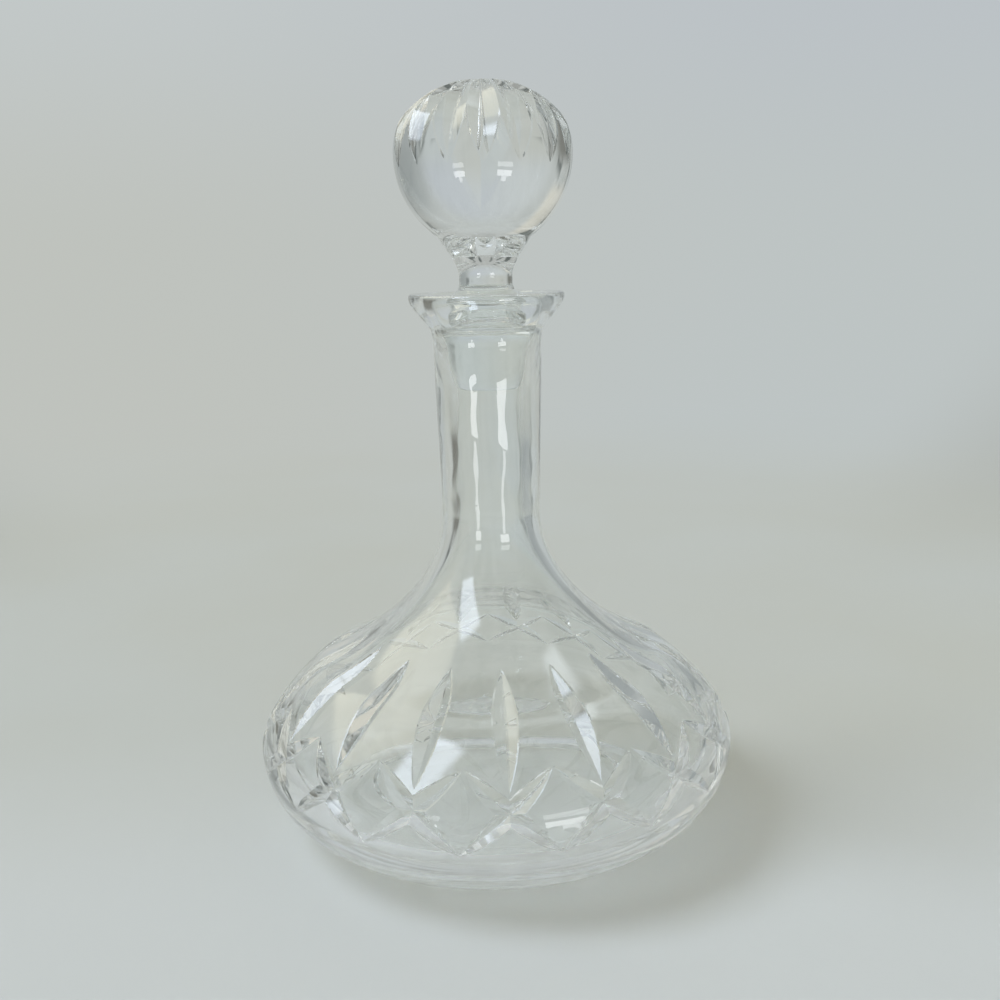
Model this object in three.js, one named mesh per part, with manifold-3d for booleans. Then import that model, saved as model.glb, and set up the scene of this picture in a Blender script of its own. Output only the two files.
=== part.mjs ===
// Cut crystal ship's decanter with a ground-in ball stopper.
// Units are millimetres, +Z is up, and the origin is the centre of the foot, on the table.
// An azimuth of 0 degrees looks out of the front of the object, along -Y.
import * as THREE from 'three';
import { mergeVertices } from 'three/addons/utils/BufferGeometryUtils.js';
import Module from 'manifold-3d';

const wasm = await Module();
wasm.setup();

// Outside of the bottle
const footRadius = 60;
const footRingWidth = 9;
const footRecess = 2;
const footEdgeReach = 27;
const footEdgeAngle = 19.5;
const bellyRadius = 89.3;
const bellyHeight = 33.4;
const bellyDrop = 9.8;
const bellyRise = 8.3;
const shoulderRadius = 62.4;
const shoulderHeight = 64.3;
const shoulderAngle = 22.3;
const shoulderReachOut = 9.6;
const shoulderReachIn = 16.6;
const waistRadius = 18.1;
const waistHeight = 115.3;
const waistReach = 23.3;
const neckRadius = 19.4;
const neckHeight = 179;
const collarRadius = 21;
const collarHeight = 186;
const collarSlope = 51;
const collarReachBelow = 1.4;
const collarReachAbove = 7;
const lipRadius = 27.9;
const lipHeight = 197.6;
const lipReach = 2.8;
const lipEdgeRadius = 1.2;

// Inside of the bottle
const floorHeight = 8.5;
const floorReachIn = 58;
const floorDrop = 19;
const bellyWall = 8.3;
const shoulderWall = 6.6;
const boreRadius = 12;
const boreFlareHeight = 118;

// Mouth: a ground cone all the way up to the thick lip, as depths below the rim
const seatDepth = 33.6;
const seatTopDepth = 20.1;
const seatTopRadius = 15.3;

// Stopper in the mouth: ground peg, shoulder, groove and button, as depths below the rim
const seatClearance = 0.35;
const pegBevel = 0.9;
const shoulderDepth = 10.1;
const grooveDepth = 7.4;
const grooveRadius = 11.8;
const buttonLowDepth = 6;
const buttonHighDepth = 3;
const buttonRadius = 14.1;
const buttonTopSlope = 138;

// Stopper above the mouth, as rises above the rim
const stemFootRadius = 10.1;
const stemFootRise = 1;
const stemRadius = 9.5;
const stemRise = 5;
const stemReach = 5;
const throatRadius = 16.4;
const throatRise = 19;
const throatSlopeBelow = 57;
const throatReachBelow = 6;
const throatSlopeAbove = 38;
const throatReachAbove = 17;
const ballRadius = 31.2;
const ballRise = 47.5;
const ballReachDown = 6.5;
const ballReachUp = 16.9;
const ballTopRise = 71;
const crownRadius = 4;
const crownReach = 11.5;

// Mitre cuts: a belt of crosses round the belly, a leaf over each cross, petals round the ball.
// The petals are cut with a flatter wheel and so wide that neighbours meet in a ridge.
const beltAngle = 110;
const crossCount = 17;
const crossLowHeight = 27.4;
const crossHighHeight = 51.5;
const crossDepth = 2.4;
const leafLowHeight = 45.5;
const leafHighHeight = 73;
const leafDepth = 3;
const petalCount = 16;
const petalTopRadius = 9;
const petalLowRise = 42.3;
const petalAngle = 130;
const petalDepth = 3.2;
const petalTurn = -1.7;

// Fineness of the facets
const sidesPerCross = 3;
const sidesPerPetal = 3;
const cutStations = 6;
const cutHeadroom = 3;
const cutOverrun = 0.06;

const radians = THREE.MathUtils.degToRad;
const point = (radius, height) => new THREE.Vector2(radius, height);
// A step of a given length along a slope in degrees above the horizontal
const toward = (degrees, length) => point(length, 0).rotateAround(point(0, 0), radians(degrees));
const upward = (length) => toward(90, length);

// A cubic curve that leaves `from` along `leave` and comes into `to` along `arrive`
function bend(from, leave, arrive, to, steps) {
  const curve = new THREE.CubicBezierCurve(from, from.clone().add(leave), to.clone().sub(arrive), to);
  return curve.getPoints(steps);
}

// Joins stretches of outline into one line of points, each joint point once
function joinStretches(...stretches) {
  const line = [];
  for (const spot of stretches.flat()) {
    if (!line.length || line.at(-1).distanceTo(spot) > 0.01) line.push(spot);
  }
  return line;
}

// Bottle's outside from the foot's edge up to the rim
function bodyOutline(fineness) {
  const foot = point(footRadius, 0);
  const belly = point(bellyRadius, bellyHeight);
  const shoulder = point(shoulderRadius, shoulderHeight);
  const waist = point(waistRadius, waistHeight);
  const neck = point(neckRadius, neckHeight);
  const collar = point(collarRadius, collarHeight);
  const edge = point(lipRadius, lipHeight - lipEdgeRadius);
  const neckReach = (neckHeight - waistHeight) / 3;
  const inward = (length) => toward(180 - shoulderAngle, length);
  return joinStretches(
    bend(foot, toward(footEdgeAngle, footEdgeReach), upward(bellyDrop), belly, 7 * fineness),
    bend(belly, upward(bellyRise), inward(shoulderReachOut), shoulder, 6 * fineness),
    bend(shoulder, inward(shoulderReachIn), upward(waistReach), waist, 7 * fineness),
    bend(waist, upward(neckReach), upward(neckReach), neck, 3 * fineness),
    bend(neck, upward(2 * collarReachBelow), toward(collarSlope, collarReachBelow), collar, 2 * fineness),
    bend(collar, toward(collarSlope, collarReachAbove), upward(lipReach), edge, 4 * fineness),
    lipEdge(),
  );
}

// Rounded edge of the lip, from its side to its flat top
function lipEdge() {
  const edge = new THREE.EllipseCurve(lipRadius - lipEdgeRadius, lipHeight - lipEdgeRadius,
    lipEdgeRadius, lipEdgeRadius, 0, Math.PI / 2);
  return edge.getPoints(3);
}

// Radius of the ground seat's cone at a height; it narrows downward to the bore
function seatRadius(height) {
  const share = (height - (lipHeight - seatDepth)) / (seatDepth - seatTopDepth);
  return THREE.MathUtils.lerp(boreRadius, seatTopRadius, share);
}

// Bottle's inside from the mouth down to the floor of the belly
function hollowOutline() {
  const mouth = point(seatRadius(lipHeight - lipEdgeRadius), lipHeight - lipEdgeRadius);
  const rim = point(mouth.x + lipEdgeRadius, lipHeight);
  const flare = point(boreRadius, boreFlareHeight);
  const wall = toward(90 - shoulderAngle, shoulderWall);
  const shoulder = point(shoulderRadius, shoulderHeight).sub(wall);
  const belly = point(bellyRadius - bellyWall, bellyHeight);
  const floor = point(0, floorHeight);
  const down = (length) => upward(-length);
  const outward = (length) => toward(-shoulderAngle, length);
  const rounding = lipEdgeRadius / 2;
  const intoSeat = point(boreRadius - seatTopRadius, seatTopDepth - seatDepth).setLength(rounding);
  return joinStretches(
    bend(rim, toward(180, rounding), intoSeat, mouth, 3),
    [point(boreRadius, lipHeight - seatDepth), flare],
    bend(flare, down(waistReach), outward(shoulderReachIn), shoulder, 7),
    bend(shoulder, outward(shoulderReachOut), down(bellyRise), belly, 5),
    bend(belly, down(floorDrop), toward(180, floorReachIn), floor, 8),
  );
}

// Flat foot ring with a shallow recess inside it
function footOutline() {
  const ringInner = footRadius - footRingWidth;
  return [point(0, footRecess), point(ringInner - footRecess, footRecess), point(ringInner, 0)];
}

// Outline of the stopper's head, from the stem's waist up to the crown
function headOutline(fineness) {
  const stem = point(stemRadius, lipHeight + stemRise);
  const throat = point(throatRadius, lipHeight + throatRise);
  const ball = point(ballRadius, lipHeight + ballRise);
  const crown = point(crownRadius, lipHeight + ballTopRise);
  const below = toward(throatSlopeBelow, throatReachBelow);
  const above = toward(throatSlopeAbove, throatReachAbove);
  return joinStretches(
    bend(stem, upward(stemReach), below, throat, 4 * fineness),
    bend(throat, above, upward(ballReachDown), ball, 6 * fineness),
    bend(ball, upward(ballReachUp), toward(180, crownReach), crown, 8 * fineness),
  );
}

// Stopper's outline below the head: peg, shoulder, groove, button and the foot of the stem
function pegOutline() {
  const bottom = lipHeight - seatDepth;
  const shoulder = lipHeight - shoulderDepth;
  const button = point(buttonRadius, lipHeight - buttonHighDepth);
  const stemFoot = point(stemFootRadius, lipHeight + stemFootRise);
  const stem = point(stemRadius, lipHeight + stemRise);
  const pegRadius = (height) => seatRadius(height) - seatClearance;
  const round = buttonHighDepth / 2;
  return joinStretches(
    [point(0, bottom), point(pegRadius(bottom) - pegBevel, bottom)],
    [point(pegRadius(bottom + pegBevel), bottom + pegBevel), point(pegRadius(shoulder), shoulder)],
    [point(pegRadius(shoulder) - pegBevel, shoulder + pegBevel)],
    [point(grooveRadius, lipHeight - grooveDepth), point(buttonRadius, lipHeight - buttonLowDepth)],
    bend(button, upward(round), toward(buttonTopSlope, round), stemFoot, 4),
    [stem],
  );
}

// An outline with the distance run along it to each of its spots
function withRuns(spots) {
  let run = 0;
  return spots.map((spot, i) => {
    run += i ? spot.distanceTo(spots[i - 1]) : 0;
    return { spot, run };
  });
}

// Distance run along an outline to the first spot that passes a test
const runTo = (outline, test) => outline.find(({ spot }) => test(spot)).run;

// A place on a round surface, by its run along the outline and its azimuth, with its outward direction
function surfacePlace(outline, run, azimuth) {
  const reached = outline.findIndex((mark) => mark.run >= run);
  const above = reached < 0 ? outline.length - 1 : Math.max(1, reached);
  const low = outline[above - 1];
  const high = outline[above];
  const spot = low.spot.clone().lerp(high.spot, (run - low.run) / (high.run - low.run));
  const normal = point(high.spot.y - low.spot.y, low.spot.x - high.spot.x).normalize();
  const around = ({ x, y }) => new THREE.Vector3(x * Math.sin(azimuth), -x * Math.cos(azimuth), y);
  return { place: around(spot), normal: around(normal) };
}

// A wheel's V cut along a path on a surface. It is deepest in the middle and runs out at both ends,
// so its edges make a leaf. The path gives run and azimuth for a share from 0 to 1.
function mitreCutter(outline, path, angle, depth) {
  const halfWidth = Math.tan(radians(angle / 2));
  const corners = [];
  const placeAt = (share) => {
    const { run, azimuth } = path(share);
    return surfacePlace(outline, run, azimuth);
  };
  for (let station = 0; station <= cutStations; station += 1) {
    const share = THREE.MathUtils.lerp(-cutOverrun, 1 + cutOverrun, station / cutStations);
    const here = placeAt(share);
    const along = placeAt(share + 0.01).place.sub(placeAt(share - 0.01).place).normalize();
    const sideways = new THREE.Vector3().crossVectors(here.normal, along).normalize();
    const sunk = depth * (1 - (2 * share - 1) ** 2);
    const reach = (sunk + cutHeadroom) * halfWidth;
    const top = here.place.clone().addScaledVector(here.normal, cutHeadroom);
    corners.push(
      here.place.clone().addScaledVector(here.normal, -sunk),
      top.clone().addScaledVector(sideways, reach),
      top.clone().addScaledVector(sideways, -reach),
    );
  }
  return prismThrough(corners);
}

// A closed solid through rings of three corners
function prismThrough(corners) {
  const faces = [[0, 1, 2]];
  for (let ring = 0; ring + 3 < corners.length; ring += 3) {
    for (let side = 0; side < 3; side += 1) {
      const next = (side + 1) % 3;
      faces.push([ring + side, ring + 3 + side, ring + 3 + next]);
      faces.push([ring + side, ring + 3 + next, ring + next]);
    }
  }
  const last = corners.length - 3;
  faces.push([last, last + 2, last + 1]);
  const geometry = new THREE.BufferGeometry().setFromPoints(corners);
  geometry.setIndex(faces.flat());
  return toSolid(geometry);
}

// A round solid from a closed outline that starts and ends on the axis
function roundSolid(outline, sides, turn = 0) {
  const geometry = new THREE.LatheGeometry(outline, sides);
  geometry.rotateX(Math.PI / 2);
  geometry.rotateZ(turn);
  return toSolid(geometry);
}

// A geometry as a manifold solid that faces outward, without the flat triangles at its poles
function toSolid(geometry) {
  geometry.deleteAttribute('normal');
  geometry.deleteAttribute('uv');
  const merged = mergeVertices(geometry, 1e-4);
  const index = merged.getIndex().array;
  const corners = merged.getAttribute('position').array;
  const spot = (i) => new THREE.Vector3().fromArray(corners, 3 * i);
  const kept = [];
  let volume = 0;
  for (let i = 0; i < index.length; i += 3) {
    const [a, b, c] = [index[i], index[i + 1], index[i + 2]];
    if (a === b || b === c || c === a) continue;
    kept.push([a, b, c]);
    volume += spot(a).dot(spot(b).cross(spot(c)));
  }
  const facing = volume > 0 ? kept : kept.map(([a, b, c]) => [a, c, b]);
  const mesh = new wasm.Mesh({
    numProp: 3,
    vertProperties: new Float32Array(corners),
    triVerts: new Uint32Array(facing.flat()),
  });
  return new wasm.Manifold(mesh);
}

// A solid back as a named mesh of clear glass
function glassPiece(name, solid) {
  const { vertProperties, triVerts } = solid.getMesh();
  const geometry = new THREE.BufferGeometry();
  geometry.setAttribute('position', new THREE.BufferAttribute(new Float32Array(vertProperties), 3));
  geometry.setIndex(new THREE.BufferAttribute(new Uint32Array(triVerts), 1));
  geometry.computeVertexNormals();
  const glass = new THREE.MeshStandardMaterial({
    color: 0xe6ece9, roughness: 0.03, metalness: 0, transparent: true, opacity: 0.35,
  });
  const piece = new THREE.Mesh(geometry, glass);
  piece.name = name;
  return piece;
}

// Path of a cut between two runs, as run and azimuth for a share from 0 to 1; swing slants it
const cutPath = (azimuth, swing, fromRun, toRun) => (share) => ({
  azimuth: azimuth + swing * (share - 0.5),
  run: THREE.MathUtils.lerp(fromRun, toRun, share),
});

// Bottle: a blown body, a thick flared lip, and the cutter's belt of crosses and leaves
function makeDecanter() {
  const sides = crossCount * sidesPerCross;
  const profile = joinStretches(footOutline(), bodyOutline(1), hollowOutline());
  const surface = withRuns(bodyOutline(8));
  const runAt = (height) => runTo(surface, (spot) => spot.y >= height);
  const pitch = (2 * Math.PI) / crossCount;
  let bottle = roundSolid(profile, sides, Math.PI / sides);
  for (let cross = 0; cross < crossCount; cross += 1) {
    const azimuth = cross * pitch;
    for (const swing of [pitch, -pitch]) {
      const path = cutPath(azimuth, swing, runAt(crossLowHeight), runAt(crossHighHeight));
      bottle = bottle.subtract(mitreCutter(surface, path, beltAngle, crossDepth));
    }
    const leaf = cutPath(azimuth, 0, runAt(leafLowHeight), runAt(leafHighHeight));
    bottle = bottle.subtract(mitreCutter(surface, leaf, beltAngle, leafDepth));
  }
  return glassPiece('decanter', bottle);
}

// Stopper: solid ball with petals cut down from its crown, a stem and the ground peg
function makeStopper() {
  const sides = petalCount * sidesPerPetal;
  const turn = radians(petalTurn);
  const profile = joinStretches(pegOutline(), headOutline(1), [point(0, lipHeight + ballTopRise)]);
  const surface = withRuns(headOutline(8));
  const lowRun = runTo(surface, (spot) => spot.y >= lipHeight + petalLowRise);
  const highRun = runTo(surface, (spot) => spot.y > lipHeight + ballRise && spot.x <= petalTopRadius);
  let stopper = roundSolid(profile, sides, turn + Math.PI / sides);
  for (let petal = 0; petal < petalCount; petal += 1) {
    const path = cutPath(turn + (petal * 2 * Math.PI) / petalCount, 0, lowRun, highRun);
    stopper = stopper.subtract(mitreCutter(surface, path, petalAngle, petalDepth));
  }
  return glassPiece('stopper', stopper);
}

const model = new THREE.Group();
model.add(makeDecanter(), makeStopper());

export default model;
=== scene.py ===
# %% [markdown]
# # A cut crystal ship's decanter
# A ship's decanter has a very broad base, so that it stays up on a moving table. This one is blown
# clear crystal with a long neck and a flared lip. A cutter has ground a belt of crosses and leaves
# round its widest part, and a ball stopper with a cut crown sits in a ground cone in its mouth.
# The lesson builds it in Blender: two turned pieces of glass, their cuts, the glass itself, and then
# the table, the light and the camera.

# %% [markdown]
# ## The frame
# The imported CAD model comes first, because it fixes every size and says which body moves. Its box is
# kept.

# %% Load the frame
import math

import bmesh
import bpy
from mathutils import Matrix, Vector


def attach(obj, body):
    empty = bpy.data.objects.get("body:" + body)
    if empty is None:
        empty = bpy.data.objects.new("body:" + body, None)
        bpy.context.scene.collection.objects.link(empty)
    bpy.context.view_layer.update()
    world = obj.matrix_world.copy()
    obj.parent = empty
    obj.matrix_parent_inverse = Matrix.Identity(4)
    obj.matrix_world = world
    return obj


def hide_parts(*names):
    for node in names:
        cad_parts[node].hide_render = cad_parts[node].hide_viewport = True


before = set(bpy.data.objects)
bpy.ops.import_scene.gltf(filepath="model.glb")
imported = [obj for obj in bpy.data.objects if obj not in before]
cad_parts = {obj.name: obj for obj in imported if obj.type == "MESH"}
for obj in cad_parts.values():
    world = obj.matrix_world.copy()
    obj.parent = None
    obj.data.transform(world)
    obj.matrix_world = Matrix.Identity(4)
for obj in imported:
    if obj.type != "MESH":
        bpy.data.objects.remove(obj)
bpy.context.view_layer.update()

# %% [markdown]
# ## Sizes
# Glass is drawn in millimetres, as a glassmaker would, and only turned into metres when a point is
# placed. The outline of a turned piece is a few key points, given as a radius from the axis and a
# height above the table, with smooth curves between them. A curve leaves a point in one direction
# and comes into the next one in another, and how far it reaches along each decides how full it is.

# %% Curves for the outlines
MM = 0.001


def toward(degrees, length):
    return Vector((math.cos(math.radians(degrees)), math.sin(math.radians(degrees)))) * length


def bend(start, leave, arrive, end, steps):
    start, end = Vector(start), Vector(end)
    near, far = start + leave, end - arrive
    line = []
    for i in range(steps + 1):
        t = i / steps
        s = 1 - t
        line.append(s**3 * start + 3 * s * s * t * near + 3 * s * t * t * far + t**3 * end)
    return line


def join_lines(*lines):
    joined = []
    for spot in (Vector(spot) for line in lines for spot in line):
        if not joined or (joined[-1] - spot).length > 0.01:
            joined.append(spot)
    return joined


# %% [markdown]
# ## The bottle's outline
# The outside rises from the foot ring, swells to the belly low down, falls away over a wide shoulder
# and sweeps up into the neck. Near the top a small collar marks where the hot glass was reheated and
# opened into the flared lip, whose edge is rounded. The inside comes next. Both are drawn as one line
# from the axis under the foot, over the rim, and back to the axis on the floor inside. The number of
# steps in each curve can be raised, because the cutters need a finer copy of the outside.

# %% Outside of the bottle
rim_height = 197.6
foot, foot_angle, foot_reach = (60, 0), 19.5, 27
belly, belly_drop, belly_rise = (89.2, 33.4), 9.8, 8.3
shoulder, shoulder_angle, shoulder_out, shoulder_in = (62.4, 64.3), 22.3, 9.6, 16.6
waist, waist_reach = (18.1, 115.3), 23.3
neck_top, neck_reach, neck_end = (19.4, 179.0), 21, 2.6
collar, collar_angle, collar_below, collar_above = (21.0, 186.0), 51, 1.4, 7
lip_radius, lip_round, lip_reach = 27.9, 1.2, 2.8


def bottle_outside(fineness):
    shoulder_way = 180 - shoulder_angle
    round_centre = Vector((lip_radius - lip_round, rim_height - lip_round))
    return join_lines(
        bend(foot, toward(foot_angle, foot_reach), toward(90, belly_drop), belly, 20 * fineness),
        bend(belly, toward(90, belly_rise), toward(shoulder_way, shoulder_out), shoulder, 16 * fineness),
        bend(shoulder, toward(shoulder_way, shoulder_in), toward(90, waist_reach), waist, 20 * fineness),
        bend(waist, toward(90, neck_reach), toward(90, neck_reach), neck_top, 10 * fineness),
        bend(neck_top, toward(90, neck_end), toward(collar_angle, collar_below), collar, 5 * fineness),
        bend(collar, toward(collar_angle, collar_above), toward(90, lip_reach),
             (lip_radius, rim_height - lip_round), 8 * fineness),
        [round_centre + toward(15 * step, lip_round) for step in range(7)],
    )


print("the lip is", 2 * lip_radius, "mm wide, and the belly", 2 * belly[0], "mm")

# %% [markdown]
# ## The hollow, and the whole outline
# The inside is as important as the outside, because each ray meets both. It starts at the rim, goes
# down the ground cone and the bore, and follows the shoulder and the belly at the thickness of the
# wall. The floor is flat in the middle and curves up into the belly. Underneath there is a shallow
# recess, so that the bottle stands on a narrow ring.

# %% Inside of the bottle
bore_radius, bore_top, bore_flare = 12.0, 140, 118
seat_low, seat_top = rim_height - 33.6, (15.3, rim_height - 20.1)
shoulder_wall, belly_wall = 6.6, 8.3
floor_height, floor_drop, floor_reach = 8.5, 19, 58
mouth_depth, mouth_flare, edge_reach = 1, 1.2, 0.7
foot_recess = ((0, 2), (20, 2), (40, 2), (49, 2), (50.4, 0.6), (51, 0))


def seat_radius(height):
    return bore_radius + (seat_top[0] - bore_radius) * (height - seat_low) / (seat_top[1] - seat_low)


def bottle_inside():
    into_seat = (Vector((bore_radius, seat_low)) - Vector(seat_top)).normalized() * edge_reach
    mouth = (seat_radius(rim_height - mouth_depth), rim_height - mouth_depth)
    rim_inside = (mouth[0] + mouth_flare, rim_height)
    inner_shoulder = Vector(shoulder) - toward(90 - shoulder_angle, shoulder_wall)
    inner_belly = (belly[0] - belly_wall, belly[1])
    flare, shoulder_way = (bore_radius, bore_flare), -shoulder_angle
    return join_lines(
        bend(rim_inside, toward(180, edge_reach), into_seat, mouth, 6),
        [(seat_radius(h), h) for h in (rim_height - 6, rim_height - 11, seat_top[1], seat_low)],
        [(bore_radius, bore_top), flare],
        bend(flare, toward(-90, waist_reach), toward(shoulder_way, shoulder_in), inner_shoulder, 22),
        bend(inner_shoulder, toward(shoulder_way, shoulder_out), toward(-90, belly_rise),
             inner_belly, 16),
        bend(inner_belly, toward(-90, floor_drop), toward(180, floor_reach), (0, floor_height), 30),
    )


bottle_line = join_lines(foot_recess, bottle_outside(1), bottle_inside())
print("points on the bottle's outline:", len(bottle_line))

# %% [markdown]
# ## Turning on a lathe
# Blown glass is round, so each piece starts as a single point that is extruded along its outline and
# then spun round the axis. The start is a plane merged to one point. Every operator acts on all that
# is selected, and a new mesh is selected all over, so everything is deselected first. The number of
# steps in a turn is a multiple of the number of cuts, so each cut meets the same faces.

# %% Spin an outline into a piece
def select_only(piece):
    if bpy.context.object and bpy.context.object.mode != "OBJECT":
        bpy.ops.object.mode_set(mode="OBJECT")
    bpy.ops.object.select_all(action="DESELECT")
    bpy.context.view_layer.objects.active = piece
    piece.select_set(True)


def turn_piece(name, line, steps):
    bpy.ops.object.select_all(action="DESELECT")
    bpy.ops.mesh.primitive_plane_add(size=MM, location=(line[0].x * MM, 0, line[0].y * MM))
    piece = bpy.context.object
    piece.name = name
    bpy.ops.object.transform_apply(location=True, rotation=True, scale=True)
    bpy.ops.object.mode_set(mode="EDIT")
    bpy.ops.mesh.select_mode(type="VERT")
    bpy.ops.mesh.select_all(action="SELECT")
    bpy.ops.mesh.merge(type="CENTER")
    for here, there in zip(line, line[1:]):
        step = (there - here) * MM
        bpy.ops.mesh.extrude_region_move(TRANSFORM_OT_translate={"value": (step.x, 0, step.y)})
    bpy.ops.mesh.select_all(action="SELECT")
    bpy.ops.mesh.spin(steps=steps, angle=math.tau, center=(0, 0, 0), axis=(0, 0, 1))
    bpy.ops.mesh.select_all(action="SELECT")
    bpy.ops.mesh.remove_doubles(threshold=0.00001)
    bpy.ops.mesh.select_all(action="SELECT")
    bpy.ops.mesh.normals_make_consistent(inside=False)
    bpy.ops.object.mode_set(mode="OBJECT")
    return piece


repeats, steps_per_repeat = 17, 14
bottle = turn_piece("bottle", bottle_line, repeats * steps_per_repeat)
print("bottle faces before cutting:", len(bottle.data.polygons))

# %% [markdown]
# ## The cutter's wheel
# A mitre cut is made by pressing the glass against a stone wheel with a V-shaped edge. It starts as a
# point where the wheel touches, widens as it bites deeper, and runs out to a point again, so its two
# edges make a leaf. The path of a cut is given by how far it has run along the outline and by its
# angle round the axis. So the outline first gets the length that it has run up to each of its points.

# %% Places along an outline
def with_runs(line):
    runs = [0.0]
    for here, there in zip(line, line[1:]):
        runs.append(runs[-1] + (there - here).length)
    return list(zip(runs, line))


def run_where(marks, test):
    return next(run for run, spot in marks if test(spot))


def place_on(marks, run, azimuth):
    ahead = next((i for i, mark in enumerate(marks) if mark[0] >= run), len(marks) - 1)
    ahead = max(1, ahead)
    (run_a, a), (run_b, b) = marks[ahead - 1], marks[ahead]
    spot = a.lerp(b, (run - run_a) / (run_b - run_a))
    around = lambda r, z: Vector((r * math.sin(azimuth), -r * math.cos(azimuth), z))
    return around(spot.x, spot.y), around(b.y - a.y, a.x - b.x).normalized()


def straight_path(low, high, swing):
    return lambda share: (low + (high - low) * share, swing * (share - 0.5))


body_marks = with_runs(bottle_outside(6))
print("the outside of the bottle runs for", round(body_marks[-1][0], 1), "mm")

# %% [markdown]
# ## The cutting body
# A body of the same shape as the cut is made here: a V section is extruded along the path, and its
# tip goes as deep as the wheel does at each place. Acid polishing takes the sharpness off the edges,
# so the section opens wider just under the surface. That leaves a narrow flat along each edge, which
# catches the light as a thin line. The section ends a little above the glass, and the path runs a
# little past both ends of the cut, so that no face of the cutter lies in the surface.

# %% A cutting body that follows a surface
edge_depth, least_knee, headroom, overrun = 0.16, 0.15, 1.2, 0.05


def wheel_cut(name, marks, path, angle, depth, stations):
    steep, wide = math.tan(math.radians(angle / 2)), math.tan(math.radians(45 + angle / 4))
    bpy.ops.object.select_all(action="DESELECT")
    bpy.ops.mesh.primitive_circle_add(vertices=5, radius=MM, fill_type="NGON")
    cutter = bpy.context.object
    cutter.name = name
    bpy.ops.object.mode_set(mode="EDIT")
    bpy.ops.mesh.select_all(action="SELECT")
    for station in range(stations + 1):
        if station:
            bpy.ops.mesh.extrude_region_move(TRANSFORM_OT_translate={"value": (0, 0, MM)})
        share = -overrun + (1 + 2 * overrun) * station / stations
        place, normal = place_on(marks, *path(share))
        ahead = place_on(marks, *path(share + 0.01))[0] - place_on(marks, *path(share - 0.01))[0]
        side = normal.cross(ahead).normalized()
        sunk = depth * (1 - (2 * share - 1) ** 2)
        radius = place.xy.length
        reach = radius * (math.sqrt(1 / steep**2 + 2 * max(sunk, 0) / radius) - 1 / steep)
        knee = max(sunk - reach**2 / (2 * radius) - edge_depth, least_knee)
        tip, low, high = place - normal * sunk, normal * knee, normal * (sunk + headroom)
        near, out = side * knee * steep, side * (knee * steep + (sunk + headroom - knee) * wide)
        corners = (tip, tip + low + near, tip + high + out, tip + high - out, tip + low - near)
        mesh = bmesh.from_edit_mesh(cutter.data)
        moved = [vert for vert in mesh.verts if vert.select]
        for vert, corner in zip(moved, corners):
            vert.co = corner * MM
        bmesh.update_edit_mesh(cutter.data)
    bpy.ops.mesh.select_all(action="SELECT")
    bpy.ops.mesh.normals_make_consistent(inside=False)
    bpy.ops.object.mode_set(mode="OBJECT")
    return cutter


# %% [markdown]
# ## Copies round the axis
# Each kind of cut is modelled once, and then copied round the piece at an even pitch. The copies of
# one kind are joined, and one boolean takes them all away. Copies that overlap need the boolean's
# self-intersection option, which is slower, so it is only switched on for them.

# %% Copy a cutting body round, and cut with it
def ring_of(cutter, count, first_turn=0.0):
    copies = [cutter]
    for i in range(1, count):
        select_only(cutter)
        bpy.ops.object.duplicate(linked=False)
        copy = bpy.context.object
        copy.rotation_euler.z = math.tau * i / count
        copies.append(copy)
    bpy.ops.object.select_all(action="DESELECT")
    for copy in copies:
        copy.select_set(True)
    bpy.context.view_layer.objects.active = cutter
    bpy.ops.object.transform_apply(location=True, rotation=True, scale=True)
    bpy.ops.object.join()
    cutter.rotation_euler.z = first_turn
    bpy.ops.object.transform_apply(location=True, rotation=True, scale=True)
    return cutter


def cut_away(piece, cutter, overlapping=False):
    select_only(piece)
    modifier = piece.modifiers.new("cut", "BOOLEAN")
    modifier.operation = "DIFFERENCE"
    modifier.solver = "EXACT"
    modifier.use_self = overlapping
    modifier.object = cutter
    bpy.ops.object.modifier_apply(modifier=modifier.name)
    bpy.data.objects.remove(cutter)
    print(piece.name, "has", len(piece.data.polygons), "faces")


# %% [markdown]
# ## The belt round the bottle
# Seventeen crosses stand side by side round the widest part, each of two slanting cuts, and a tall
# leaf rises from the middle of each cross. The two slants are mirror images: together they make the
# zigzag that is seen along the bottom of the belt, where the tips of neighbouring crosses meet.

# %% Cut the belt
belt_angle, belt_stations = 110, 28
pitch = math.tau / repeats
for name, low_height, high_height, swing, depth in (
    ("rising_slant", 27.4, 51.5, pitch, 2.4),
    ("falling_slant", 27.4, 51.5, -pitch, 2.4),
    ("leaf", 45.5, 73, 0.0, 3.0),
):
    low = run_where(body_marks, lambda spot: spot.y >= low_height)
    high = run_where(body_marks, lambda spot: spot.y >= high_height)
    path = straight_path(low, high, swing)
    cutter = wheel_cut(name, body_marks, path, belt_angle, depth, belt_stations)
    cut_away(bottle, ring_of(cutter, repeats))

# %% [markdown]
# ## The stopper
# The stopper is one solid piece of glass. Its head is a ball, a little flat on top and drawn down into
# a short stem. Below the rim it swells to a button, narrows to a groove and widens again to the
# shoulder of the peg, which was ground to a cone so that it seats in the mouth.

# %% Outline of the stopper
stem, stem_rise = (9.5, rim_height + 5), 5
throat, throat_below, throat_above = (16.4, rim_height + 19), toward(57, 6), toward(38, 17)
ball, ball_down, ball_up = (31.17, rim_height + 47.5), 6.5, 16.9
crown_height, crown, crown_reach = rim_height + 71, (4, rim_height + 71), 11.5


def stopper_head(fineness):
    return join_lines(
        bend(stem, toward(90, stem_rise), throat_below, throat, 12 * fineness),
        bend(throat, throat_above, toward(90, ball_down), ball, 22 * fineness),
        bend(ball, toward(90, ball_up), toward(180, crown_reach), crown, 24 * fineness),
    )


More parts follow.
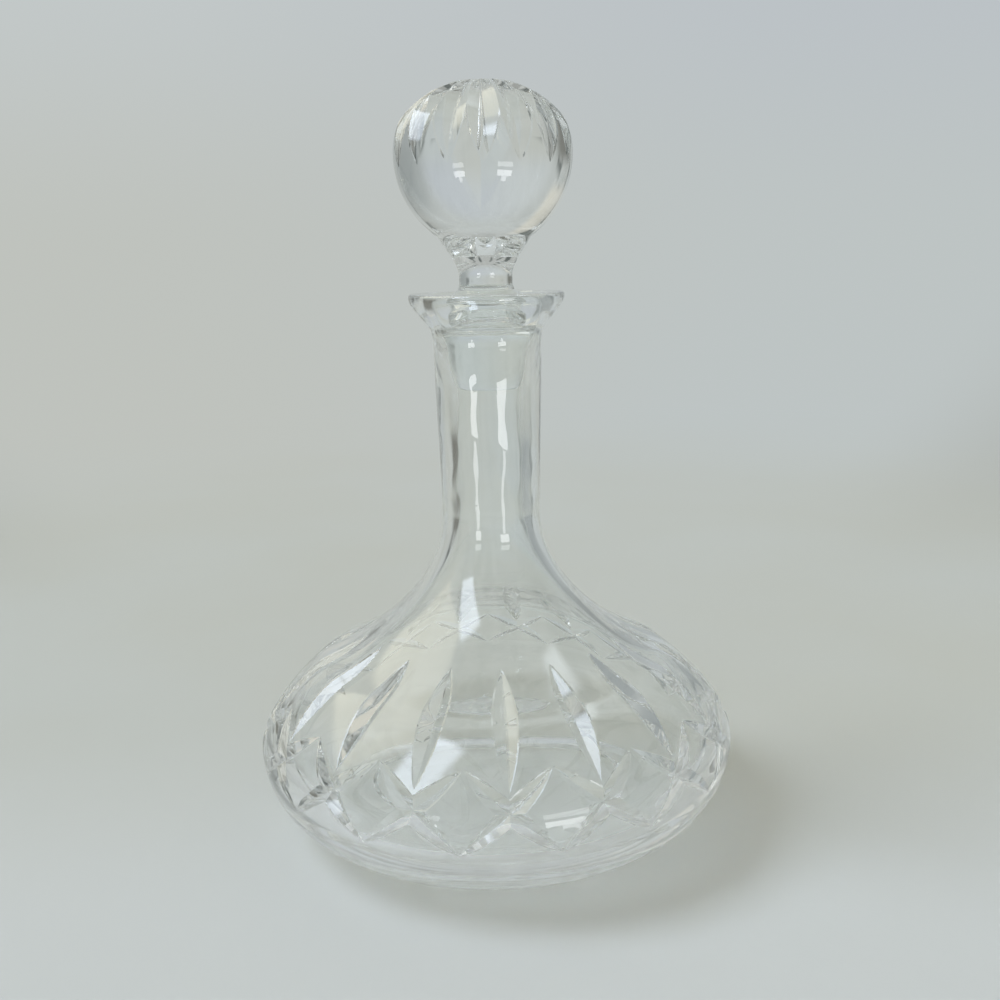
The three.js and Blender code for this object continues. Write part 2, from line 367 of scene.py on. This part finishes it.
peg_gap, peg_bevel, peg_round, edge_turn = 0.35, 1.2, 1.1, 76
shoulder_height, shoulder_fall = rim_height - 10.1, 0.9


def peg_radius(height):
    return seat_radius(height) - peg_gap


def stopper_peg():
    low_edge = (peg_radius(seat_low) - peg_round, seat_low)
    above_edge = (peg_radius(seat_low + peg_bevel), seat_low + peg_bevel)
    peg_shoulder = (peg_radius(shoulder_height), shoulder_height)
    over_shoulder = (peg_shoulder[0] - peg_round, shoulder_height + shoulder_fall)
    return join_lines(
        [(0, seat_low), (6, seat_low)],
        bend(low_edge, toward(0, edge_reach), toward(edge_turn, edge_reach), above_edge, 5),
        [(peg_radius(seat_low + rise), seat_low + rise) for rise in (6, 12, 18)],
        bend(peg_shoulder, toward(edge_turn, edge_reach), toward(140, edge_reach), over_shoulder, 5),
        bend((13, rim_height - 8.2), toward(146, 1.2), toward(90, 0.5), (11.8, rim_height - 7.2), 5),
        bend((11.9, rim_height - 6.6), toward(60, 0.8), toward(75, 0.8), (14.0, rim_height - 5.2), 4),
        bend((14.1, rim_height - 3), toward(90, 1.9), toward(138, 1.5), (10.1, rim_height + 1), 10),
        [(9.6, rim_height + 2.6)],
    )


petals = 16
stopper_line = join_lines(stopper_peg(), stopper_head(1), [(2, crown_height), (0, crown_height)])
stopper = turn_piece("ball_stopper", stopper_line, petals * steps_per_repeat)
print("stopper faces before cutting:", len(stopper.data.polygons))

# %% [markdown]
# ## Petals on the crown
# Sixteen cuts start near the top of the ball and run down its side, and each ends in a point a little
# below the widest part. They are made with a flatter wheel, so that neighbours meet in a ridge and only
# their points stand apart. Seen from the front they look like a row of hanging petals.

# %% Cut the petals
petal_angle, petal_depth, petal_stations = 130, 3.2, 26
petal_foot, petal_top, petal_turn = rim_height + 42.3, 9, math.radians(-1.7)
head_marks = with_runs(stopper_head(6))
petal_low = run_where(head_marks, lambda spot: spot.y >= petal_foot)
petal_high = run_where(head_marks, lambda spot: spot.y > ball[1] and spot.x <= petal_top)
path = straight_path(petal_low, petal_high, 0.0)
petal = wheel_cut("petal", head_marks, path, petal_angle, petal_depth, petal_stations)
cut_away(stopper, ring_of(petal, petals, petal_turn), overlapping=True)

# %% [markdown]
# ## Edges and shading
# Glass shows its shading more than any other material, because every ray bends with the surface. The
# turned walls have to be smooth, and the edges of the cuts have to stay crisp. Shading smooth up to an
# angle does both. The flats along the cuts meet the surface and the walls of the cut at 17.5 degrees
# on the bottle, and at 12.5 degrees on the flatter petals of the stopper, while two faces from the
# lathe mostly meet at a few degrees. So each piece gets a limit just under its own flats.

# %% Shade the glass
bottle_limit, stopper_limit = 16, 11
for piece, limit in ((bottle, bottle_limit), (stopper, stopper_limit)):
    select_only(piece)
    bpy.ops.object.shade_smooth_by_angle(angle=math.radians(limit))
    edges = sum(edge.use_edge_sharp for edge in piece.data.edges)
    print(piece.name, "has", edges, "sharp edges")

# %% [markdown]
# ## Small helpers for materials
# A material is a graph of nodes. These helpers make a new material, add a node with its values, turn
# one span of numbers into another, in a straight line or with soft ends, and do one sum.

# %% Node helpers
def new_material(name):
    material = bpy.data.materials.new(name)
    material.use_nodes = True
    return material, material.node_tree.nodes, material.node_tree.links


def add_node(nodes, kind, **values):
    node = nodes.new(kind)
    for key, value in values.items():
        if key in node.inputs:
            node.inputs[key].default_value = value
        else:
            setattr(node, key, value)
    return node


def range_node(nodes, links, value, span, result=(0, 1), way="LINEAR"):
    node = add_node(nodes, "ShaderNodeMapRange", interpolation_type=way)
    for socket, number in zip(("From Min", "From Max", "To Min", "To Max"), (*span, *result)):
        node.inputs[socket].default_value = number
    links.new(value, node.inputs["Value"])
    return node.outputs[0]


def smooth_step(nodes, links, value, low, high):
    return range_node(nodes, links, value, (low, high), way="SMOOTHSTEP")


def math_node(nodes, links, operation, *values):
    node = add_node(nodes, "ShaderNodeMath", operation=operation)
    for socket, value in zip(node.inputs, values):
        if isinstance(value, (int, float)):
            socket.default_value = value
        else:
            links.new(value, socket)
    return node.outputs[0]


# %% [markdown]
# ## An uneven surface
# A blown wall is never perfectly even, so a faint, slow waviness goes into the surface of both pieces.
# The neck was drawn out while it was hot, which left stronger waves that run along it. They come from
# a noise that is stretched in height, and they fade in above the shoulder.

# %% Waves in the glass
neck_from, neck_full = 0.09, 0.125
wave_scale, cord_scale, cord_stretch = 38.0, 105.0, (1, 1, 0.55)


def wavy_surface(nodes, links, place, height, cord_strength):
    waves = add_node(nodes, "ShaderNodeTexNoise", Scale=wave_scale, Detail=1.5, Roughness=0.4)
    links.new(place, waves.inputs["Vector"])
    drawn = add_node(nodes, "ShaderNodeVectorMath", operation="MULTIPLY")
    links.new(place, drawn.inputs[0])
    drawn.inputs[1].default_value = cord_stretch
    cords = add_node(nodes, "ShaderNodeTexNoise", Scale=cord_scale, Detail=1.0)
    links.new(drawn.outputs[0], cords.inputs["Vector"])
    on_neck = range_node(nodes, links, height, (neck_from, neck_full), (0, cord_strength), "SMOOTHSTEP")
    uneven = math_node(nodes, links, "MULTIPLY_ADD", cords.outputs[0], on_neck, waves.outputs[0])
    bump = add_node(nodes, "ShaderNodeBump", Strength=0.25, Distance=0.00025)
    links.new(uneven, bump.inputs["Height"])
    return bump.outputs[0]


# %% [markdown]
# ## Haze on the surface
# Fine handling marks make the glass a little less than perfectly glossy. The cone of the peg is ground
# with fine grit, which is rougher still. It lies between two heights, with a soft edge of 0.4 mm.

# %% Roughness of the glass
ground_low, ground_high, ground_edge = seat_low + 1.4, rim_height - 10.4, 0.4


def hazy_surface(nodes, links, place, height, ground_roughness):
    marks = add_node(nodes, "ShaderNodeTexNoise", Scale=90.0, Detail=4.0)
    links.new(place, marks.inputs["Vector"])
    handled = range_node(nodes, links, marks.outputs[0], (0.55, 0.8), (0.0, 0.012))
    low_end = (ground_low - ground_edge) * MM, (ground_low + ground_edge) * MM
    high_end = (ground_high + ground_edge) * MM, (ground_high - ground_edge) * MM
    above, below = (range_node(nodes, links, height, end) for end in (low_end, high_end))
    ground = math_node(nodes, links, "MULTIPLY", above, below)
    return math_node(nodes, links, "MULTIPLY_ADD", ground, ground_roughness, handled)


# %% [markdown]
# ## Clear crystal
# Lead crystal bends light more than window glass, and this shows in the bright and dark lines along
# the cuts. It is nearly colourless, with a faint green that only shows where light passes through many
# walls. The bottle has the waves on its neck, and the stopper has the ground peg.

# %% Glass material
def crystal(name, cord_strength, ground_roughness):
    material, nodes, links = new_material(name)
    shader = nodes["Principled BSDF"]
    shader.inputs["Base Color"].default_value = (0.986, 0.998, 0.99, 1)
    shader.inputs["Transmission Weight"].default_value = 1
    shader.inputs["IOR"].default_value = 1.545
    place = add_node(nodes, "ShaderNodeTexCoord").outputs["Object"]
    split = add_node(nodes, "ShaderNodeSeparateXYZ")
    links.new(place, split.inputs[0])
    height = split.outputs["Z"]
    links.new(wavy_surface(nodes, links, place, height, cord_strength), shader.inputs["Normal"])
    links.new(hazy_surface(nodes, links, place, height, ground_roughness), shader.inputs["Roughness"])
    print(name, "has", len(nodes), "nodes")
    return material


for piece, glass in (
    (bottle, crystal("bottle_crystal", 8.0, 0.0)),
    (stopper, crystal("stopper_crystal", 0.0, 0.05)),
):
    piece.data.materials.clear()
    piece.data.materials.append(glass)

# %% [markdown]
# ## Riding on the bodies
# Each row gives a piece, the CAD node it stands for, a material slot name and the body that carries it.
# The CAD node is hidden, and the piece rides on its body, so that the stopper lifts out of the bottle.

# %% Attach the pieces
for piece, node, slot, body in (
    (bottle, "decanter", "bottle_glass", "decanter"),
    (stopper, "stopper", "stopper_glass", "stopper"),
):
    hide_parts(node)
    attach(piece, body)

# %% [markdown]
# ## Directions and soft cards
# Clear glass is made of what stands round it: it shows nothing but bent pictures of its surroundings.
# So the room has to be drawn with care. A direction is given by its angle round the room, where 0 is
# straight in front and -90 is on the left, and by its height over the horizon, both in degrees. A soft
# card is a rectangle in the room, seen in one direction, with a half width and a half height in
# degrees and a blurred edge.

# %% Helpers for directions
def aim(azimuth, elevation):
    a, e = math.radians(azimuth), math.radians(elevation)
    return Vector((math.sin(a) * math.cos(e), -math.cos(a) * math.cos(e), math.sin(e)))


def dot_with(nodes, links, direction, vector):
    node = add_node(nodes, "ShaderNodeVectorMath", operation="DOT_PRODUCT")
    links.new(direction, node.inputs[0])
    node.inputs[1].default_value = vector
    return node.outputs["Value"]


def soft_card(nodes, links, direction, centre, half_size, soft):
    ahead = aim(*centre)
    along = Vector((0, 0, 1)).cross(ahead).normalized()
    towards = dot_with(nodes, links, direction, ahead)
    mask = smooth_step(nodes, links, towards, 0.0, 0.1)
    for axis, half in zip((along, ahead.cross(along)), half_size):
        edge = math.tan(math.radians(half))
        offset = math_node(nodes, links, "DIVIDE", dot_with(nodes, links, direction, axis), towards)
        offset = math_node(nodes, links, "ABSOLUTE", offset)
        inside = smooth_step(nodes, links, offset, edge + soft, edge - soft)
        mask = math_node(nodes, links, "MULTIPLY", mask, inside)
    return mask


# %% [markdown]
# ## Mixing colours
# Two helpers mix colours: one blends two of them by a share, and one reads a colour off a ramp of
# shades. Each place in a ramp is a number from 0 to 1.

# %% Helpers for colours
def blend_colour(nodes, links, share, first, second):
    node = add_node(nodes, "ShaderNodeMix", data_type="RGBA")
    links.new(share, node.inputs[0])
    for socket, value in ((node.inputs[6], first), (node.inputs[7], second)):
        if isinstance(value, tuple):
            socket.default_value = (*value, 1)
        else:
            links.new(value, socket)
    return node.outputs[2]


def shade_ramp(nodes, links, value, shades):
    node = add_node(nodes, "ShaderNodeValToRGB")
    ramp = node.color_ramp
    while len(ramp.elements) < len(shades):
        ramp.elements.new(0.5)
    for element, (spot, shade) in zip(ramp.elements, shades):
        element.position, element.color = spot, (*shade, 1)
    links.new(value, node.inputs[0])
    return node.outputs[0]


# %% [markdown]
# ## The walls of the room
# The room is a colour for every direction. It is pale behind the glass, warmer on the left and cooler
# on the right, and darker at the sides and in front. The lower part and the upper part have shades of
# their own, with a soft line between them a little over the horizon, and overhead it is a middle grey.

# %% Shades of the walls
low_shades = (
    (0.0, (0.33, 0.34, 0.325)),
    (0.50, (0.33, 0.345, 0.33)),
    (0.76, (0.37, 0.39, 0.375)),
    (0.90, (0.45, 0.475, 0.455)),
)
high_shades = (
    (0.0, (0.29, 0.305, 0.295)),
    (0.50, (0.31, 0.325, 0.31)),
    (0.69, (0.42, 0.44, 0.42)),
    (0.81, (0.50, 0.53, 0.52)),
)
low_left, low_right = (0.521, 0.542, 0.510), (0.512, 0.552, 0.550)
high_left, high_right = (0.543, 0.580, 0.582), (0.500, 0.538, 0.566)
overhead = (0.43, 0.445, 0.43)


def wall_colour(nodes, links, around, right, up):
    across = smooth_step(nodes, links, right, -0.35, 0.35)
    behind = smooth_step(nodes, links, around, 0.87, 0.94)
    halves = []
    for shades, left_shade, right_shade in (
        (low_shades, low_left, low_right),
        (high_shades, high_left, high_right),
    ):
        ramp_shade = shade_ramp(nodes, links, around, shades)
        behind_shade = blend_colour(nodes, links, across, left_shade, right_shade)
        halves.append(blend_colour(nodes, links, behind, ramp_shade, behind_shade))
    colour = blend_colour(nodes, links, smooth_step(nodes, links, up, 0.0, 0.24), *halves)
    return blend_colour(nodes, links, smooth_step(nodes, links, up, 0.7, 0.9), colour, overhead)


# %% [markdown]
# ## What stands in the room
# A bare room makes dull glass. Furniture and doorways give it its dark and pale lines. Here a noise,
# stretched upright, stands for them, dark in some places and pale in others. It is kept away from the
# pale wall behind, which the glass shows most. Five soft patches, four dark and one cream, give single
# marks that show in the belly and the ball. The camera sees none of this, except in the glass.

# %% Clutter and patches
clutter_shades = ((0.53, 0.59, (0.10, 0.115, 0.11)), (0.46, 0.40, (0.50, 0.52, 0.505)))
patches = (
    ((-112, -10), (26, 17), 0.12, (0.17, 0.17, 0.15)),
    ((-112, 43), (26, 20), 0.10, (0.66, 0.65, 0.58)),
    ((120, 8), (24, 26), 0.25, (0.33, 0.36, 0.36)),
    ((86, 24), (20, 19), 0.15, (0.13, 0.145, 0.14)),
    ((40, 32), (22, 16), 0.20, (0.26, 0.27, 0.26)),
)


def clutter_noise(nodes, links, direction):
    upright = add_node(nodes, "ShaderNodeVectorMath", operation="MULTIPLY_ADD")
    links.new(direction, upright.inputs[0])
    upright.inputs[1].default_value = (5.0, 5.0, 1.2)
    upright.inputs[2].default_value = (7.3, 2.1, 0.4)
    noise = add_node(nodes, "ShaderNodeTexNoise", Scale=1.0, Detail=2.0)
    links.new(upright.outputs[0], noise.inputs["Vector"])
    return noise.outputs[0]


def room_colour(nodes, links, direction, ray):
    split = add_node(nodes, "ShaderNodeSeparateXYZ")
    links.new(direction, split.inputs[0])
    right, back, up = split.outputs
    around = math_node(nodes, links, "ADD", math_node(nodes, links, "MULTIPLY", back, 0.5), 0.5)
    colour = wall_colour(nodes, links, around, right, up)
    in_glass = math_node(nodes, links, "SUBTRACT", 1.0, ray.outputs["Is Camera Ray"])
    raised = math_node(nodes, links, "ADD", around, math_node(nodes, links, "MULTIPLY", up, 0.35))
    aside = smooth_step(nodes, links, raised, 0.955, 0.89)
    in_room = math_node(nodes, links, "MULTIPLY", in_glass, aside)
    clutter = clutter_noise(nodes, links, direction)
    for first, last, shade in clutter_shades:
        thing = smooth_step(nodes, links, clutter, first, last)
        thing = math_node(nodes, links, "MULTIPLY", thing, in_room)
        colour = blend_colour(nodes, links, thing, colour, shade)
    for centre, half_size, soft, shade in patches:
        patch = soft_card(nodes, links, direction, centre, half_size, soft)
        patch = math_node(nodes, links, "MULTIPLY", patch, in_glass)
        colour = blend_colour(nodes, links, patch, colour, shade)
    return colour


# %% [markdown]
# ## Table
# The table is a pale sheet with a faint cloudiness, a little cooler in front. It fades into the room
# with no line, because its far part glows in the room's own colours.

# %% Table top
sheet_warm, sheet_plain = (0.50, 0.515, 0.485), (0.515, 0.54, 0.53)
sheet_front = (0.568, 0.596, 0.606)
bpy.ops.object.select_all(action="DESELECT")
bpy.ops.mesh.primitive_circle_add(vertices=128, radius=4, fill_type="NGON", location=(0, 0, -0.0003))
table = bpy.context.object
table.name = "table_top"
material, nodes, links = new_material("pale_table")
table.data.materials.append(material)
paint, surface = nodes["Principled BSDF"], nodes["Material Output"]
paint.inputs["Roughness"].default_value = 0.7
paint.inputs["Specular IOR Level"].default_value = 0.2
place = add_node(nodes, "ShaderNodeTexCoord").outputs["Object"]
split = add_node(nodes, "ShaderNodeSeparateXYZ")
links.new(place, split.inputs[0])
cloud = add_node(nodes, "ShaderNodeTexNoise", Scale=3.0, Detail=3.0)
links.new(place, cloud.inputs["Vector"])
cloudy = smooth_step(nodes, links, cloud.outputs[0], 0.3, 0.7)
in_front = smooth_step(nodes, links, split.outputs["Y"], 0.1, -0.08)
tint = blend_colour(nodes, links, cloudy, sheet_warm, sheet_plain)
tint = blend_colour(nodes, links, in_front, tint, sheet_front)
links.new(tint, paint.inputs["Base Color"])

# %% [markdown]
# ## The table far away, and through the glass
# From 0.3 m outwards the sheet turns into the room. Glass gathers light on the table under it, more
# than a path tracer finds. So two fifths of what is seen through the glass close by is painted light,
# the plain colour of the sheet glowing there, and the rest is the lit sheet with its shadow.

# %% Fade and gathered light
through_share = 0.4
ray = add_node(nodes, "ShaderNodeLightPath")
far = add_node(nodes, "ShaderNodeVectorMath", operation="LENGTH")
outward = add_node(nodes, "ShaderNodeVectorMath", operation="NORMALIZE")
for node in (far, outward):
    links.new(place, node.inputs[0])
glow = add_node(nodes, "ShaderNodeEmission", Strength=1.0)
links.new(room_colour(nodes, links, outward.outputs[0], ray), glow.inputs["Color"])
# painted light: the sheet's plain colour glows here, standing in for light that the glass gathers on the
# table
gathered_glow = add_node(nodes, "ShaderNodeEmission", Strength=1.0)
links.new(tint, gathered_glow.inputs["Color"])
close_by = smooth_step(nodes, links, far.outputs["Value"], 0.6, 0.2)
seen_through = math_node(nodes, links, "MULTIPLY", ray.outputs["Is Transmission Ray"], close_by)
blend = add_node(nodes, "ShaderNodeMixShader")
gathered = add_node(nodes, "ShaderNodeMixShader")
for node, share, first, second in (
    (blend, smooth_step(nodes, links, far.outputs["Value"], 0.3, 1.1), paint, glow),
    (gathered, math_node(nodes, links, "MULTIPLY", seen_through, through_share), blend, gathered_glow),
):
    links.new(share, node.inputs[0])
    links.new(first.outputs[0], node.inputs[1])
    links.new(second.outputs[0], node.inputs[2])
links.new(gathered.outputs[0], surface.inputs["Surface"])
print("the table has", len(nodes), "nodes")

# %% [markdown]
# ## Windows
# The world shows the room to camera, glossy and transmission rays, and the light of the windows is
# added to it as soft cards. The first is a bluish window high on the left, which mirrors in the
# surface. The second is seen through the glass on the same side, gentle, as through a thin curtain.
# The third is a cream glow beside them that only mirrors. The last two are one small window on the
# right, bright where it mirrors and gentle where it is seen through. A ray that is bent in glass also
# counts as glossy, so what mirrors is what is glossy and not transmitted.

# %% The room and its windows
world = bpy.data.worlds.new("studio")
bpy.context.scene.world = world
world.use_nodes = True
nodes, links = world.node_tree.nodes, world.node_tree.links
ray = add_node(nodes, "ShaderNodeLightPath")
direction = add_node(nodes, "ShaderNodeTexCoord").outputs["Generated"]
passing = ray.outputs["Is Transmission Ray"]
mirroring = math_node(nodes, links, "SUBTRACT", ray.outputs["Is Glossy Ray"], passing)
mirroring = math_node(nodes, links, "MAXIMUM", mirroring, 0.0)


def scaled(value, strength):
    node = add_node(nodes, "ShaderNodeVectorMath", operation="SCALE")
    node.inputs[0].default_value = value
    links.new(strength, node.inputs["Scale"])
    return node.outputs[0]


def added(first, second):
    node = add_node(nodes, "ShaderNodeVectorMath", operation="ADD")
    links.new(first, node.inputs[0])
    links.new(second, node.inputs[1])
    return node.outputs[0]


colour = room_colour(nodes, links, direction, ray)
for spot, half_size, soft, kind, light in (
    ((-54, 52), (8.5, 16), 0.04, mirroring, (5.6, 6.2, 7.2)),
    ((-78, 45), (18, 18), 0.05, passing, (0.36, 0.40, 0.46)),
    ((-112, 50), (21, 19), 0.05, mirroring, (1.9, 1.8, 1.4)),
    ((114, 63), (9, 5), 0.05, mirroring, (3.0, 3.2, 3.4)),
    ((114, 63), (9, 5), 0.05, passing, (0.20, 0.21, 0.22)),
):
    window = soft_card(nodes, links, direction, spot, half_size, soft)
    colour = added(colour, scaled(light, math_node(nodes, links, "MULTIPLY", window, kind)))
seen = add_node(nodes, "ShaderNodeBackground")
links.new(colour, seen.inputs["Color"])

# %% [markdown]
# ## Light for the table
# The table is lit by the plain background, which is one even colour, and by the sun. A path tracer
# finds only part of the light that glass gathers and brings to the table, and it never finds the sun
# through glass. So a ray from the table that has passed the glass sees the even light stronger, and it
# also sees the disc of the sun, at the energy that the sun lamp has. That brightens the shadow of the
# clear glass, as in the photo.

# %% Even light, and the sun through the glass
plain = nodes["Background"]
sun_aim, sun_width, sun_soft = aim(-92, 53), math.radians(29), 0.02
sun_energy, sun_colour, day_colour = 1.4, (0.90, 0.98, 1.15), (0.655, 0.645, 0.555)
brought = 2.2
sun_size = math.tau * (1 - math.cos(sun_width / 2))
sun_shine = [(1 + brought) * part * sun_energy / sun_size for part in sun_colour]
rim_out, rim_in = math.cos(sun_width / 2 + sun_soft), math.cos(sun_width / 2 - sun_soft)
sun_spot = smooth_step(nodes, links, dot_with(nodes, links, direction, sun_aim), rim_out, rim_in)
sun_glow = scaled(sun_shine, math_node(nodes, links, "MULTIPLY", sun_spot, passing))
day_glow = scaled(day_colour, math_node(nodes, links, "MULTIPLY_ADD", passing, brought, 1.0))
links.new(added(day_glow, sun_glow), plain.inputs["Color"])

# %% [markdown]
# ## Which ray sees what
# A ray that has left the table, or any dull surface, sees the plain light. A camera, glossy or
# transmission ray that has met no such surface yet sees the room.

# %% Room or plain light
off_table = math_node(nodes, links, "LESS_THAN", ray.outputs["Diffuse Depth"], 0.5)
either = math_node(nodes, links, "MAXIMUM", ray.outputs["Is Camera Ray"], ray.outputs["Is Glossy Ray"])
either = math_node(nodes, links, "MAXIMUM", either, passing)
either = math_node(nodes, links, "MULTIPLY", either, off_table)
mixed = add_node(nodes, "ShaderNodeMixShader")
links.new(either, mixed.inputs[0])
links.new(plain.outputs[0], mixed.inputs[1])
links.new(seen.outputs[0], mixed.inputs[2])
links.new(mixed.outputs[0], nodes["World Output"].inputs["Surface"])
print("the world has", len(nodes), "nodes")

# %% [markdown]
# ## Lamps
# The daylight that throws the soft shadow comes from high on the left, a little from behind. A sun
# with a wide angle does this evenly over the whole table. Two columns of cards stand low in front of
# the bottle, three in each, one above the other like the panes of a window. They draw the pale streaks
# down its neck and the short bars on the ball. Only mirrored rays meet them, so they add next to no
# light to the table.

# %% Lamps
def add_lamp(name, kind, place, target, **values):
    lamp = bpy.data.lights.new(name, kind)
    for key, value in values.items():
        setattr(lamp, key, value)
    holder = bpy.data.objects.new(name, lamp)
    bpy.context.scene.collection.objects.link(holder)
    holder.location = place
    holder.rotation_euler = (target - place).to_track_quat("-Z", "Y").to_euler()
    return holder


daylight = add_lamp("daylight", "SUN", sun_aim * 2, Vector((0, 0, 0)),
                    energy=sun_energy, angle=sun_width, color=sun_colour)
daylight.visible_glossy = daylight.visible_transmission = False
card_reach, card_colour = 0.35, (0.97, 0.98, 1.0)
card_columns = (("left", -33, 0.085), ("right", 25, 0.12))
card_rows = (
    ("foot", 0.044, 0.042, 0.35, 4.5),
    ("low", 0.093, 0.05, 1, 6.0),
    ("high", 0.158, 0.034, 1, 3.2),
)
for side, azimuth, full_width in card_columns:
    for row, height, tall, share, level in card_rows:
        wide, middle = full_width * share, Vector((0, 0, height))
        card = add_lamp(f"{row}_{side}", "AREA", aim(azimuth, 0) * card_reach + middle, middle,
                        shape="RECTANGLE", size=wide, size_y=tall, color=card_colour,
                        energy=level * math.pi * wide * tall)
        card.visible_transmission = card.visible_diffuse = card.visible_camera = False

# %% [markdown]
# ## Camera
# The camera stands a little above the lip and looks down at the belly, and it is turned very slightly
# on its own axis, as in a photo taken by hand. A ray goes in and out of cut glass many times before it
# leaves, so the render is allowed many bounces; with too few, the deep corners turn black.

# %% Camera and render limits
camera = bpy.data.objects.new("camera", bpy.data.cameras.new("camera"))
bpy.context.scene.collection.objects.link(camera)
bpy.context.scene.camera = camera
camera.data.sensor_width, camera.data.lens, camera.data.clip_start = 36, 39.6, 0.01
stand, rise, reach = math.radians(-2.34), 0.2117, 0.3986
off_centre, look_down, tilt, bounces = 9 / 1100, 12.73, -1.3, 128
camera.location = (reach * math.sin(stand), -reach * math.cos(stand), rise)
turn = Matrix.Rotation(stand - math.atan(off_centre), 3, "Z")
tip = Matrix.Rotation(math.radians(90 - look_down), 3, "X")
roll = Matrix.Rotation(math.radians(tilt), 3, "Z")
camera.rotation_euler = (turn @ tip @ roll).to_euler()
scene = bpy.context.scene
scene.view_settings.view_transform = "Standard"
scene.cycles.max_bounces = bounces
scene.cycles.transmission_bounces = bounces
scene.cycles.glossy_bounces = bounces
print("the camera stands", round(camera.location.length, 3), "m from the foot")
